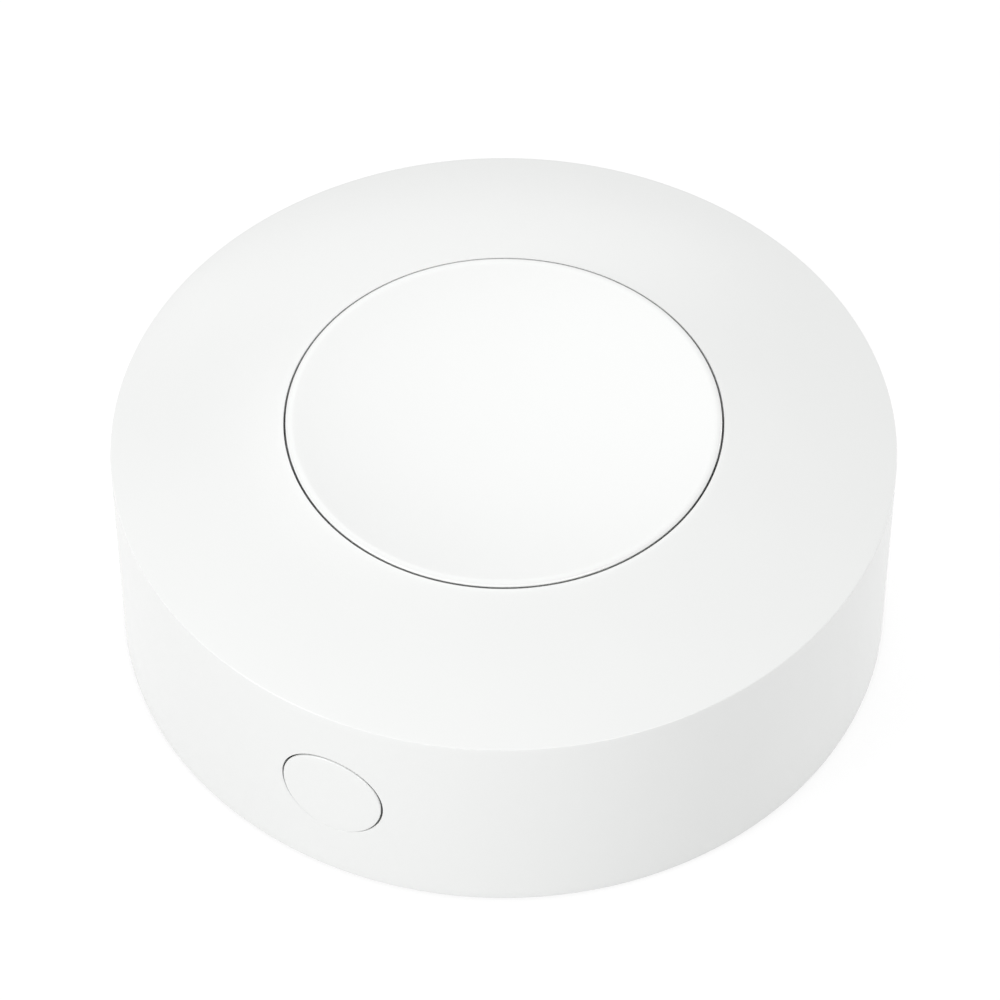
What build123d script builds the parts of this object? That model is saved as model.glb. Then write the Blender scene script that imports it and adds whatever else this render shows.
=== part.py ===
from build123d import *
import os
from math import degrees, radians, sqrt, tan

# Wireless button switch: a low round body with a crowned top, a large dished button in the
# middle and a small button in the side wall. Sizes are millimetres. The origin is the centre
# of the face that the switch rests on, +Z is up and the side button faces -Y.

# Outside form of the housing
body_radius = 27.0          # at the edge between the crowned top and the side wall
edge_height = 16.5          # from the foot of the side wall up to that edge
crown_rise = 2.5            # from the edge up to the rim round the main button
crown_bow_radius = 80.0     # arc that the crowned top follows
wall_draft = 0.75           # degrees, the side wall draws in towards its foot
side_wall = 1.8
top_wall = 1.8
edge_round = 0.25
foot_round = 0.35
rim_round = 0.12
root_round = 0.6            # inside corner under the edge

# Main button and the collar that guides it
opening_radius = 15.1
button_gap = 0.15
dish_depth = 1.05
lip_round = 0.5
cap_wall = 1.5
skirt_wall = 1.4
collar_wall = 1.5
collar_length = 3.0         # from the rim down to the face that holds the button in
flange_thickness = 1.0
flange_reach = 2.8          # how far the flange stands out from the skirt
nib_radius = 1.7
rib_count = 6
rib_width = 0.8
rib_height = 0.9
key_count = 3
key_start_angle = 30.0
key_width = 2.0
key_reach = 2.0             # how far a key stands out from the collar
key_gap = 0.1
key_overrun = 0.4           # how far a key reaches below the flange when the button is down

# Side button
side_button_height = 8.1    # its centre above the foot of the wall
side_button_radius = 3.63
side_button_gap = 0.14
side_button_sink = 0.05     # how far its face stays inside the wall
side_button_round = 0.25
side_flange_width = 9.0
side_flange_height = 8.6
side_flange_thickness = 0.9
side_flange_round = 1.2
side_nib_radius = 1.1
side_seat_depth = 0.78      # how far the flat seat stands in from the wall
side_seat_width = 12.0
side_seat_height = 10.0
side_seat_round = 2.0
guide_width = 1.0
guide_length = 5.0
guide_gap = 0.12

# Base plate, its pillars and the adhesive pad
plate_thickness = 1.6
plate_gap = 0.1             # all round, to the housing
plate_rim_width = 1.0
plate_rim_height = 1.0
pad_recess = 0.6
pad_proud = 0.2             # what the pad stands out by
pad_gap = 0.15              # all round, to the recess
pad_border = 1.0            # plate left outside the recess
pad_inner_border = 0.8      # plate left between the recess and the door or its notches
pillar_radius = 2.6
boss_radius = 2.3
boss_inset = 3.6            # screw centres from the inside of the wall
web_width = 1.0

# Screws that hold the base plate, board and housing together
screw_count = 3
screw_start_angle = 90.0
screw_radius = 1.0
screw_clearance = 0.12
screw_bite = 4.2            # length in the housing
screw_seat = 3.0            # plastic under the head
screw_head_radius = 1.9
screw_head_height = 1.3
screw_head_gap = 0.25
screw_tip_gap = 0.5
drive_width = 0.5
drive_length = 2.2
drive_depth = 0.7

# Coin cell, 24.5 mm across and 5 mm thick
cell_radius = 12.25
cell_height = 5.0
can_height = 4.7
can_round = 0.45
gasket_width = 0.5
crimp_width = 0.8
cap_sink = 1.6              # how deep the cap and gasket sit in the can
cell_gap = 0.35
cell_play = 0.05

# Battery well and twist-lock door
well_wall = 1.2
well_ledge = 1.3            # how far the ledge over the cell reaches in
door_thickness = 1.5
door_gap = 0.15
door_ring_wall = 1.5
door_ring_gap = 0.5         # between the cell and the ring round it
press_ring_radius = 6.5
press_ring_width = 1.5
press_ring_height = 0.85
lug_count = 3
lug_start_angle = 30.0
lug_reach = 1.4
lug_thickness = 1.0
lug_gap = 0.1
lug_angle = 20.0            # degrees that a lug covers
lug_end_gap = 0.6           # degrees between a lug and the stop it rests on
notch_extra_angle = 3.0
door_twist = 30.0           # degrees from locked to open
stop_angle = 5.0
coin_slot_length = 14.0
coin_slot_width = 1.8
coin_slot_depth = 0.8
door_edge_bevel = 0.2

# Circuit board and contacts
board_thickness = 1.0
board_wall_gap = 1.4
board_front_gap = 0.35      # to the side button at the end of its travel
contact_thickness = 0.2
contact_width = 3.0
contact_bend = 0.3
contact_foot = 2.6
contact_flat = 0.8          # length that lies on the cell
window_width = 4.2
window_gap = 0.4

# Main switch, 6 mm square, on the top of the board
switch_side = 6.0
switch_body_height = 3.5
switch_stem_height = 0.8    # what the stem stands above the body
switch_travel = 0.35
switch_stem_radius = 1.75
switch_dome_radius = 1.95

# Side switch, under the front of the board
side_switch_width = 6.0
side_switch_height = 3.4
side_switch_depth = 3.5
side_switch_stem = 0.9
side_switch_travel = 0.25
side_switch_stem_radius = 0.75
side_switch_dome_radius = 1.15
side_switch_setback = 0.6   # behind the front of the board

# Switch parts that both switches share
switch_floor = 0.8
switch_shell = 0.2          # steel cover
switch_flange_lip = 0.3
switch_flange_height = 0.5
switch_stem_gap = 0.08
dome_thickness = 0.1
dome_pressed_height = 0.15  # what a dome keeps when its switch is pressed
dome_side_gap = 0.1
cover_tab_length = 1.5
cover_tab_width = 2.0
terminal_width = 0.7
terminal_thickness = 0.25
terminal_height = 0.9
terminal_foot = 0.9
terminal_spread = 2.25      # from the middle of the switch to a terminal

# Parts on the board
chip_side = 5.0
chip_height = 0.85
chip_place = (-9.5, 2.0)
chip_mark_radius = 0.3      # dimple that marks the first leg
chip_mark_inset = 0.8
chip_mark_depth = 0.1
crystal_length = 3.2
crystal_width = 2.5
crystal_height = 0.8
crystal_lid_border = 0.25
crystal_place = (-9.5, 7.6)
capacitor_length = 1.0
capacitor_width = 0.5
capacitor_height = 0.5
capacitor_pitch = 1.4
capacitor_columns = 5
capacitor_rows = 2
capacitor_place = (-10.0, -3.6)
led_length = 1.6
led_width = 0.8
led_height = 0.7
led_lens_length = 0.9
led_place = (9.0, 9.0)
antenna_line = 0.6
antenna_thickness = 0.05
antenna_teeth = 5
antenna_tooth_length = 4.5
antenna_pitch = 1.4
antenna_inset = 5.0         # from the edge of the board to the outer ends of its loops
antenna_start = -4.0        # where its first loop starts, along Y

# Clearances at rest, where one moving piece meets the next
stop_gap = 0.02             # flange to the face that holds it in
touch_gap = 0.02            # button to switch stem
merge = 0.3                 # how far ribs and bosses run into the wall that carries them

# Heights
foot_z = pad_proud
edge_z = foot_z + edge_height
rim_z = edge_z + crown_rise
plate_top = foot_z + plate_thickness
side_button_z = foot_z + side_button_height
board_bottom = side_button_z + side_switch_height / 2
board_top = board_bottom + board_thickness
collar_bottom = rim_z - collar_length
flange_top = collar_bottom - stop_gap
flange_bottom = flange_top - flange_thickness
cap_underside = rim_z - dish_depth - cap_wall
switch_stem_top = board_top + switch_body_height + switch_stem_height
nib_bottom = switch_stem_top + touch_gap

# Distances from the axis
foot_radius = body_radius - edge_height * tan(radians(wall_draft))
inner_radius = foot_radius - side_wall
collar_radius = opening_radius + collar_wall
button_radius = opening_radius - button_gap
skirt_radius = button_radius - skirt_wall
flange_radius = button_radius + flange_reach
screw_circle = inner_radius - boss_inset
plate_radius = inner_radius - plate_gap
side_hole_radius = side_button_radius + side_button_gap
side_seat_y = inner_radius - side_seat_depth
side_flange_front = side_seat_y - stop_gap
side_flange_back = side_flange_front - side_flange_thickness
board_radius = inner_radius - board_wall_gap
board_front = side_flange_back - side_switch_travel - board_front_gap
side_switch_front = board_front - side_switch_setback
side_switch_back = side_switch_front - side_switch_depth

# Coin cell, battery well and door
door_inside = foot_z + door_thickness
cell_bottom = door_inside + press_ring_height + cell_play
can_top = cell_bottom + can_height
cap_radius = cell_radius - crimp_width - gasket_width
gasket_radius = cell_radius - crimp_width
well_radius = cell_radius + cell_gap
ledge_radius = well_radius - well_ledge
door_ring_radius = cell_radius + door_ring_gap
door_radius = door_ring_radius + door_ring_wall
lug_radius = door_radius + lug_reach
lug_bottom = plate_top + lug_gap
lug_top = lug_bottom + lug_thickness
track_radius = lug_radius + door_gap
roof_bottom = lug_top + lug_gap
roof_top = roof_bottom + well_wall
open_angle = lug_start_angle - door_twist
notch_angle = lug_angle + notch_extra_angle


def crown_height(radius):
    """Height of the crowned top at a distance from the axis."""
    rim = Vector(opening_radius, rim_z)
    edge = Vector(body_radius, edge_z)
    chord = edge - rim
    towards_centre = Vector(chord.Y, -chord.X).normalized()
    reach = sqrt(crown_bow_radius**2 - (chord.length / 2) ** 2)
    centre = (rim + edge) * 0.5 + towards_centre * reach
    return centre.Y + sqrt(crown_bow_radius**2 - (radius - centre.X) ** 2)


def ring_sector(height, inner, outer, middle_angle, width_angle):
    """Flat sector of a ring at a height, for lugs, notches and stops."""
    start_angle = middle_angle - width_angle / 2
    with BuildSketch(Plane.XY.offset(height)) as sector:
        with BuildLine():
            inner_arc = CenterArc((0, 0), inner, start_angle, width_angle)
            outer_arc = CenterArc((0, 0), outer, start_angle, width_angle)
            Line(inner_arc @ 0, outer_arc @ 0)
            Line(inner_arc @ 1, outer_arc @ 1)
        make_face()
    return sector.sketch


def pad_outline(gap):
    """Ring round the battery door with cut-outs at its notches, drawn in by a gap on every side."""
    border = pad_inner_border + gap
    cut_out_angle = notch_angle + 2 * degrees(border / track_radius)
    with BuildSketch() as outline:
        Circle(plate_radius - pad_border - gap)
        Circle(door_radius + door_gap + border, mode=Mode.SUBTRACT)
        for turn in range(lug_count):
            add(ring_sector(0, door_radius, track_radius + border,
                            open_angle + turn * 360 / lug_count, cut_out_angle), mode=Mode.SUBTRACT)
    return outline.sketch


os.makedirs("parts", exist_ok=True)

# Housing: side wall, crowned top and guide collar, moulded in one
with BuildPart() as housing:
    with BuildSketch(Plane.XZ) as shell:
        middle_radius = (opening_radius + body_radius) / 2
        under_middle = (collar_radius + inner_radius) / 2
        under_collar = crown_height(collar_radius) - top_wall
        under_edge = crown_height(inner_radius) - top_wall
        with BuildLine():
            Polyline((inner_radius, under_edge), (inner_radius, foot_z), (foot_radius, foot_z),
                     (body_radius, edge_z))
            ThreePointArc((body_radius, edge_z), (middle_radius, crown_height(middle_radius)),
                          (opening_radius, rim_z))
            Polyline((opening_radius, rim_z), (opening_radius, collar_bottom),
                     (collar_radius, collar_bottom), (collar_radius, under_collar))
            ThreePointArc((collar_radius, under_collar),
                          (under_middle, crown_height(under_middle) - top_wall),
                          (inner_radius, under_edge))
        make_face()
        for corner, radius in (
            ((body_radius, edge_z), edge_round),
            ((foot_radius, foot_z), foot_round),
            ((opening_radius, rim_z), rim_round),
            ((inner_radius, under_edge), root_round),
        ):
            fillet(shell.vertices().sort_by_distance(corner)[0], radius=radius)
    revolve(axis=Axis.Z)

    # Screw bosses with a web to the wall
    boss_top = crown_height(screw_circle - boss_radius) - top_wall + merge
    web_length = boss_inset + merge
    web_top = crown_height(screw_circle + boss_radius) - top_wall + merge
    with BuildSketch(Plane.XY.offset(board_top)):
        with PolarLocations(screw_circle, screw_count, start_angle=screw_start_angle):
            Circle(boss_radius)
    extrude(amount=boss_top - board_top)
    with BuildSketch(Plane.XY.offset(board_top)):
        with PolarLocations(screw_circle, screw_count, start_angle=screw_start_angle):
            Rectangle(web_length, web_width, align=(Align.MIN, Align.CENTER))
    extrude(amount=web_top - board_top)
    with BuildSketch(Plane.XY.offset(board_top)):
        with PolarLocations(screw_circle, screw_count, start_angle=screw_start_angle):
            Circle(screw_radius)
    extrude(amount=screw_bite + screw_tip_gap, mode=Mode.SUBTRACT)

    # Keys that stop the main button from turning
    key_bottom = flange_bottom - switch_travel - key_overrun
    with BuildSketch(Plane.XY.offset(key_bottom)):
        with PolarLocations(collar_radius - merge, key_count, start_angle=key_start_angle):
            Rectangle(key_reach + merge, key_width, align=(Align.MIN, Align.CENTER))
        Circle(flange_radius - flange_reach / 2, mode=Mode.SUBTRACT)
    extrude(amount=under_collar + merge - key_bottom)

    # Flat seat, guides and hole for the side button
    with BuildSketch(Plane.XZ.offset(side_seat_y)):
        with Locations((0, side_button_z)):
            RectangleRounded(side_seat_width, side_seat_height, side_seat_round)
    extrude(amount=side_seat_depth + merge)
    guide_middle = side_flange_width / 2 + guide_gap + guide_width / 2
    with BuildSketch(Plane.XZ.offset(side_flange_back)):
        with Locations((-guide_middle, side_button_z), (guide_middle, side_button_z)):
            Rectangle(guide_width, guide_length)
    extrude(amount=side_flange_thickness + side_seat_depth + merge)
    with BuildSketch(Plane.XZ.offset(side_seat_y)):
        with Locations((0, side_button_z)):
            Circle(side_hole_radius)
    extrude(amount=body_radius, mode=Mode.SUBTRACT)
housing.part.label = "housing"
export_step(housing.part, "parts/housing.step")

# Main button: dished cap with a rounded lip, a skirt, a holding flange and a nib
with BuildPart() as main_button:
    with BuildSketch(Plane.XZ) as cap:
        lip_inner = button_radius - lip_round
        dish_radius = (lip_inner**2 + dish_depth**2) / (2 * dish_depth)
        dish_centre = rim_z - dish_depth + dish_radius
        dish_middle = dish_centre - sqrt(dish_radius**2 - (lip_inner / 2) ** 2)
        under_radius = dish_radius + cap_wall
        under_skirt = dish_centre - sqrt(under_radius**2 - skirt_radius**2)
        under_cap_middle = dish_centre - sqrt(under_radius**2 - (skirt_radius / 2) ** 2)
        with BuildLine():
            ThreePointArc((0, rim_z - dish_depth), (lip_inner / 2, dish_middle), (lip_inner, rim_z))
            RadiusArc((lip_inner, rim_z), (button_radius, rim_z - lip_round), lip_round)
            Polyline((button_radius, rim_z - lip_round), (button_radius, flange_top),
                     (flange_radius, flange_top), (flange_radius, flange_bottom),
                     (skirt_radius, flange_bottom), (skirt_radius, under_skirt))
            ThreePointArc((skirt_radius, under_skirt), (skirt_radius / 2, under_cap_middle),
                          (0, cap_underside))
            Line((0, cap_underside), (0, rim_z - dish_depth))
        make_face()
    revolve(axis=Axis.Z)

    # Nib and the ribs that stiffen the cap, which follow the bow of its underside
    with BuildSketch(Plane.XY.offset(nib_bottom)):
        Circle(nib_radius)
    extrude(amount=cap_underside + merge - nib_bottom)
    with BuildPart(mode=Mode.PRIVATE) as rib:
        with BuildSketch(Plane.XZ):
            with BuildLine():
                ThreePointArc((0, cap_underside + merge),
                              (skirt_radius / 2, under_cap_middle + merge),
                              (skirt_radius, under_skirt + merge))
                Polyline((skirt_radius, under_skirt + merge),
                         (skirt_radius + merge, under_skirt + merge),
                         (skirt_radius + merge, cap_underside - rib_height),
                         (0, cap_underside - rib_height), (0, cap_underside + merge))
            make_face()
        extrude(amount=rib_width / 2, both=True)
    with PolarLocations(0, rib_count):
        add(rib.part)

    # Slots in the flange for the keys
    with BuildSketch(Plane.XY.offset(flange_bottom)):
        with PolarLocations(collar_radius - collar_wall / 2, key_count,
                            start_angle=key_start_angle):
            Rectangle(flange_reach + collar_wall, key_width + 2 * key_gap,
                      align=(Align.MIN, Align.CENTER))
    extrude(amount=flange_thickness, mode=Mode.SUBTRACT)
main_button.part.label = "main_button"
export_step(main_button.part, "parts/main_button.step")

# Side button: its face follows the drafted wall, and its flange sits behind the seat
with BuildPart() as side_button:
    with BuildSketch(Plane.XZ.offset(side_flange_back)):
        with Locations((0, side_button_z)):
            Circle(side_button_radius)
    extrude(amount=body_radius - side_flange_back)
    with BuildSketch(Plane.XZ) as wall_face:
        face_radius = foot_radius - side_button_sink
        face_top_radius = body_radius - side_button_sink
        Polygon((0, foot_z), (face_radius, foot_z), (face_top_radius, edge_z), (0, edge_z),
                align=None)
    revolve(axis=Axis.Z, mode=Mode.INTERSECT)
    fillet(side_button.edges().sort_by(Axis.Y)[0], radius=side_button_round)
    with BuildSketch(Plane.XZ.offset(side_flange_back)):
        with Locations((0, side_button_z)):
            RectangleRounded(side_flange_width, side_flange_height, side_flange_round)
    extrude(amount=side_flange_thickness)
    side_nib_end = side_switch_front + side_switch_stem + touch_gap
    with BuildSketch(Plane.XZ.offset(side_nib_end)):
        with Locations((0, side_button_z)):
            Circle(side_nib_radius)
    extrude(amount=side_flange_back - side_nib_end)
side_button.part.label = "side_button"
export_step(side_button.part, "parts/side_button.step")

# Base plate: disc with the battery well, bayonet track and screw pillars
with BuildPart() as base_plate:
    with BuildSketch(Plane.XY.offset(foot_z)):
        Circle(plate_radius)
        Circle(door_radius + door_gap, mode=Mode.SUBTRACT)
    extrude(amount=plate_thickness)
    with BuildSketch(Plane.XY.offset(plate_top)):
        Circle(plate_radius)
        Circle(plate_radius - plate_rim_width, mode=Mode.SUBTRACT)
    extrude(amount=plate_rim_height)
    with BuildSketch(Plane.XZ):
        with BuildLine():
            Polyline((track_radius, plate_top - merge), (track_radius + well_wall, plate_top - merge),
                     (track_radius + well_wall, roof_top), (well_radius + well_wall, roof_top),
                     (well_radius + well_wall, can_top + well_wall),
                     (ledge_radius, can_top + well_wall), (ledge_radius, can_top),
                     (well_radius, can_top), (well_radius, roof_bottom),
                     (track_radius, roof_bottom), close=True)
        make_face()
    revolve(axis=Axis.Z)

    # Notches that let the lugs in, and the stops at both ends of their turn
    lock_stop_angle = lug_start_angle + lug_angle / 2 + lug_end_gap + stop_angle / 2
    open_stop_angle = open_angle - lug_angle / 2 - lug_end_gap - stop_angle / 2
    for turn in range(lug_count):
        turn_angle = turn * 360 / lug_count
        extrude(ring_sector(foot_z, door_radius, track_radius, turn_angle + open_angle, notch_angle),
                amount=plate_thickness, mode=Mode.SUBTRACT)
    for turn in range(lug_count):
        turn_angle = turn * 360 / lug_count
        for angle in (lock_stop_angle, open_stop_angle):
            extrude(ring_sector(plate_top, door_radius + door_gap, track_radius + merge,
                                turn_angle + angle, stop_angle),
                    amount=roof_bottom - plate_top)

    # Pillars that clamp the board, bored for the screws and their heads
    with BuildSketch(Plane.XY.offset(plate_top)):
        with PolarLocations(screw_circle, screw_count, start_angle=screw_start_angle):
            Circle(pillar_radius)
    extrude(amount=board_bottom - plate_top)
    extrude(pad_outline(0), amount=foot_z + pad_recess, mode=Mode.SUBTRACT)
    with BuildSketch(Plane.XY.offset(foot_z)):
        with PolarLocations(screw_circle, screw_count, start_angle=screw_start_angle):
            Circle(screw_head_radius + screw_head_gap)
    extrude(amount=board_bottom - screw_seat - foot_z, mode=Mode.SUBTRACT)
    with BuildSketch(Plane.XY.offset(foot_z)):
        with PolarLocations(screw_circle, screw_count, start_angle=screw_start_angle):
            Circle(screw_radius + screw_clearance)
    extrude(amount=board_bottom - foot_z, mode=Mode.SUBTRACT)

    # Window in the well for the contact on the side of the cell
    window_bottom = roof_top + window_gap
    window_top = can_top - window_gap
    with BuildSketch(Plane.YZ.offset(cell_radius)):
        with Locations((0, (window_bottom + window_top) / 2)):
            Rectangle(window_width, window_top - window_bottom)
    extrude(amount=cell_gap + well_wall + merge, mode=Mode.SUBTRACT)
base_plate.part.label = "base_plate"
export_step(base_plate.part, "parts/base_plate.step")

# Battery door: disc with a coin slot outside, and the ring, lugs and press ring inside
with BuildPart() as battery_door:
    with BuildSketch(Plane.XY.offset(foot_z)):
        Circle(door_radius)
    extrude(amount=door_thickness)
    chamfer(battery_door.edges().group_by(Axis.Z)[0], length=door_edge_bevel)
    with BuildSketch(Plane.XY.offset(door_inside)):
        Circle(door_radius)
        Circle(door_ring_radius, mode=Mode.SUBTRACT)
    extrude(amount=lug_top - door_inside)
    with BuildSketch(Plane.XY.offset(door_inside)):
        Circle(press_ring_radius)
        Circle(press_ring_radius - press_ring_width, mode=Mode.SUBTRACT)
    extrude(amount=press_ring_height)
    for turn in range(lug_count):
        lug_middle = lug_start_angle + turn * 360 / lug_count
        extrude(ring_sector(lug_bottom, door_ring_radius + merge, lug_radius, lug_middle, lug_angle),
                amount=lug_thickness)
    with BuildSketch(Plane.XY.offset(foot_z)):
        SlotOverall(coin_slot_length, coin_slot_width)
    extrude(amount=coin_slot_depth, mode=Mode.SUBTRACT)
battery_door.part.label = "battery_door"
export_step(battery_door.part, "parts/battery_door.step")

# Adhesive pad: ring of foam tape in the recess of the base plate, over the screw heads
with BuildPart() as adhesive_pad:
    extrude(pad_outline(pad_gap), amount=pad_proud + pad_recess)
adhesive_pad.part.label = "adhesive_pad"
export_step(adhesive_pad.part, "parts/adhesive_pad.step")

# Screws, driven from below
with BuildPart() as base_screws:
    head_top = board_bottom - screw_seat
    head_bottom = head_top - screw_head_height
    with BuildSketch(Plane.XY.offset(head_bottom)):
        with PolarLocations(screw_circle, screw_count, start_angle=screw_start_angle):
            Circle(screw_head_radius)
    extrude(amount=screw_head_height)
    with BuildSketch(Plane.XY.offset(head_top)):
        with PolarLocations(screw_circle, screw_count, start_angle=screw_start_angle):
            Circle(screw_radius)
    extrude(amount=screw_seat + board_thickness + screw_bite)
    with BuildSketch(Plane.XY.offset(head_bottom)):
        with PolarLocations(screw_circle, screw_count, start_angle=screw_start_angle):
            Rectangle(drive_length, drive_width)
            Rectangle(drive_width, drive_length)
    extrude(amount=drive_depth, mode=Mode.SUBTRACT)
base_screws.part.label = "base_screws"
export_step(base_screws.part, "parts/base_screws.step")

# Coin cell: can, gasket and cap, one inside the other
with BuildPart() as coin_cell_can:
    with BuildSketch(Plane.XY.offset(cell_bottom)):
        Circle(cell_radius)
    extrude(amount=can_height)
    fillet(coin_cell_can.edges(), radius=can_round)
    with BuildSketch(Plane.XY.offset(can_top - cap_sink)):
        Circle(gasket_radius)
    extrude(amount=cap_sink, mode=Mode.SUBTRACT)
coin_cell_can.part.label = "coin_cell_can"
export_step(coin_cell_can.part, "parts/coin_cell_can.step")

with BuildPart() as coin_cell_gasket:
    with BuildSketch(Plane.XY.offset(can_top - cap_sink)):
        Circle(gasket_radius)
        Circle(cap_radius, mode=Mode.SUBTRACT)
    extrude(amount=cap_sink)
coin_cell_gasket.part.label = "coin_cell_gasket"
export_step(coin_cell_gasket.part, "parts/coin_cell_gasket.step")

with BuildPart() as coin_cell_cap:
    with BuildSketch(Plane.XY.offset(can_top - cap_sink)):
        Circle(cap_radius)
    extrude(amount=cap_sink + cell_height - can_height)
    cap_edge = coin_cell_cap.edges().group_by(Axis.Z)[-1]
    fillet(cap_edge, radius=cell_height - can_height)
coin_cell_cap.part.label = "coin_cell_cap"
export_step(coin_cell_cap.part, "parts/coin_cell_cap.step")

# Contact on the side of the cell: a bent strip soldered under the board
strip_middle = board_bottom - contact_thickness / 2
with BuildPart() as positive_contact:
    outside = well_radius + well_wall + contact_thickness
    tip = cell_radius + contact_thickness / 2
    window_middle = (window_bottom + window_top) / 2
    with BuildSketch(Plane.XZ):
        with BuildLine():
            FilletPolyline(
                (outside + contact_foot, strip_middle),
                (outside, strip_middle),
                (outside, window_top - contact_bend),
                (tip, window_middle + contact_flat / 2),
                (tip, window_middle - contact_flat / 2),
                (outside - 2 * contact_thickness, window_bottom + contact_bend),
                radius=contact_bend,
            )
        trace(line_width=contact_thickness)
    extrude(amount=contact_width / 2, both=True)
positive_contact.part.label = "positive_contact"
export_step(positive_contact.part, "parts/positive_contact.step")

# Contact on the cap of the cell: a sprung arm soldered under the middle of the board
with BuildPart() as negative_contact:
    arm_bottom = cell_bottom + cell_height + contact_thickness / 2
    foot_start = ledge_radius - contact_foot
    with BuildSketch(Plane.XZ):
        with BuildLine():
            FilletPolyline(
                (-foot_start, strip_middle),
                (contact_foot - foot_start, strip_middle),
                (-contact_flat, arm_bottom),
                (contact_flat, arm_bottom),
                (contact_foot, (arm_bottom + strip_middle) / 2),
                radius=contact_bend,
            )
        trace(line_width=contact_thickness)
    extrude(amount=contact_width / 2, both=True)
negative_contact.part.label = "negative_contact"
export_step(negative_contact.part, "parts/negative_contact.step")

# Circuit board: disc with a flat front that clears the side button
with BuildPart() as circuit_board:
    with BuildSketch(Plane.XY.offset(board_bottom)):
        Circle(board_radius)
        with Locations((0, -board_front)):
            Rectangle(2 * board_radius, board_radius, align=(Align.CENTER, Align.MAX),
                      mode=Mode.SUBTRACT)
        with PolarLocations(screw_circle, screw_count, start_angle=screw_start_angle):
            Circle(screw_radius + screw_clearance, mode=Mode.SUBTRACT)
    extrude(amount=board_thickness)
circuit_board.part.label = "circuit_board"
export_step(circuit_board.part, "parts/circuit_board.step")


def make_switch(name, seat, width, depth, body_height, stem_radius, stem_height, dome_radius, travel):
    """Snap-dome switch on a seat plane, pressed along the plane's normal: base, dome, stem, cover."""
    dome_height = travel + dome_pressed_height
    pocket_radius = dome_radius + dome_side_gap
    stem_flange_radius = stem_radius + switch_flange_lip
    cover_bottom = body_height - switch_shell
    axis = Axis(seat.origin, seat.z_dir)
    profile_plane = Plane(origin=seat.origin, x_dir=seat.x_dir, z_dir=-seat.y_dir)

    with BuildPart() as base:
        with BuildSketch(seat):
            Rectangle(width, depth)
        extrude(amount=cover_bottom)
        with BuildSketch(seat.offset(switch_floor)):
            Circle(max(pocket_radius, stem_flange_radius + switch_stem_gap))
        extrude(amount=body_height, mode=Mode.SUBTRACT)
    base.part.label = name + "_base"
    export_step(base.part, "parts/" + base.part.label + ".step")

    sphere_radius = (dome_radius**2 + dome_height**2) / (2 * dome_height)
    sphere_drop = sphere_radius - dome_height
    inner_sphere_radius = sphere_radius - dome_thickness
    dome_inner_radius = sqrt(inner_sphere_radius**2 - sphere_drop**2)
    with BuildPart() as dome:
        dome_peak = switch_floor + dome_height
        with BuildSketch(profile_plane):
            with BuildLine():
                RadiusArc((0, dome_peak), (dome_radius, switch_floor), sphere_radius)
                Line((dome_radius, switch_floor), (dome_inner_radius, switch_floor))
                RadiusArc((dome_inner_radius, switch_floor), (0, dome_peak - dome_thickness),
                          -inner_sphere_radius)
                Line((0, dome_peak - dome_thickness), (0, dome_peak))
            make_face()
        revolve(axis=axis)
    dome.part.label = name + "_dome"
    export_step(dome.part, "parts/" + dome.part.label + ".step")

    with BuildPart() as stem:
        stem_bottom = switch_floor + dome_height + touch_gap
        flange_height_top = cover_bottom - touch_gap
        with BuildSketch(seat.offset(stem_bottom)):
            Circle(stem_radius / 2)
        extrude(amount=flange_height_top - stem_bottom)
        with BuildSketch(seat.offset(flange_height_top - switch_flange_height)):
            Circle(stem_flange_radius)
        extrude(amount=switch_flange_height)
        with BuildSketch(seat.offset(flange_height_top - switch_flange_height)):
            Circle(stem_radius)
        extrude(amount=body_height + stem_height - flange_height_top + switch_flange_height)
    stem.part.label = name + "_stem"
    export_step(stem.part, "parts/" + stem.part.label + ".step")

    with BuildPart() as cover:
        with BuildSketch(seat.offset(cover_bottom)):
            Rectangle(width + 2 * switch_shell, depth)
            Circle(stem_radius + switch_stem_gap, mode=Mode.SUBTRACT)
        extrude(amount=switch_shell)
        with BuildSketch(seat.offset(cover_bottom - cover_tab_length)):
            with Locations((-width / 2, 0)):
                Rectangle(switch_shell, cover_tab_width, align=(Align.MAX, Align.CENTER))
            with Locations((width / 2, 0)):
                Rectangle(switch_shell, cover_tab_width, align=(Align.MIN, Align.CENTER))
        extrude(amount=cover_tab_length + switch_shell)
    cover.part.label = name + "_cover"
    export_step(cover.part, "parts/" + cover.part.label + ".step")


# Main switch under the nib, and side switch behind the side button
make_switch("switch", Plane.XY.offset(board_top), switch_side, switch_side, switch_body_height,
            switch_stem_radius, switch_stem_height, switch_dome_radius, switch_travel)
side_seat = Plane(origin=(0, -side_switch_back, side_button_z), x_dir=(1, 0, 0), z_dir=(0, -1, 0))
make_switch("side_switch", side_seat, side_switch_width, side_switch_height, side_switch_depth,
            side_switch_stem_radius, side_switch_stem, side_switch_dome_radius, side_switch_travel)

# Legs of the two switches, each standing on the board against the side of its switch
with BuildPart() as switch_terminals:
    for offset_x in (-terminal_spread, terminal_spread):
        with BuildSketch(Plane.YZ.offset(offset_x)):
            with Locations((switch_side / 2, board_top)):
                Rectangle(terminal_thickness, terminal_height, align=(Align.MIN, Align.MIN))
                Rectangle(terminal_foot, terminal_thickness, align=(Align.MIN, Align.MIN))
            mirror(about=Plane.YZ)
        extrude(amount=terminal_width / 2, both=True)
switch_terminals.part.label = "switch_terminals"
export_step(switch_terminals.part, "parts/switch_terminals.step")

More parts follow.
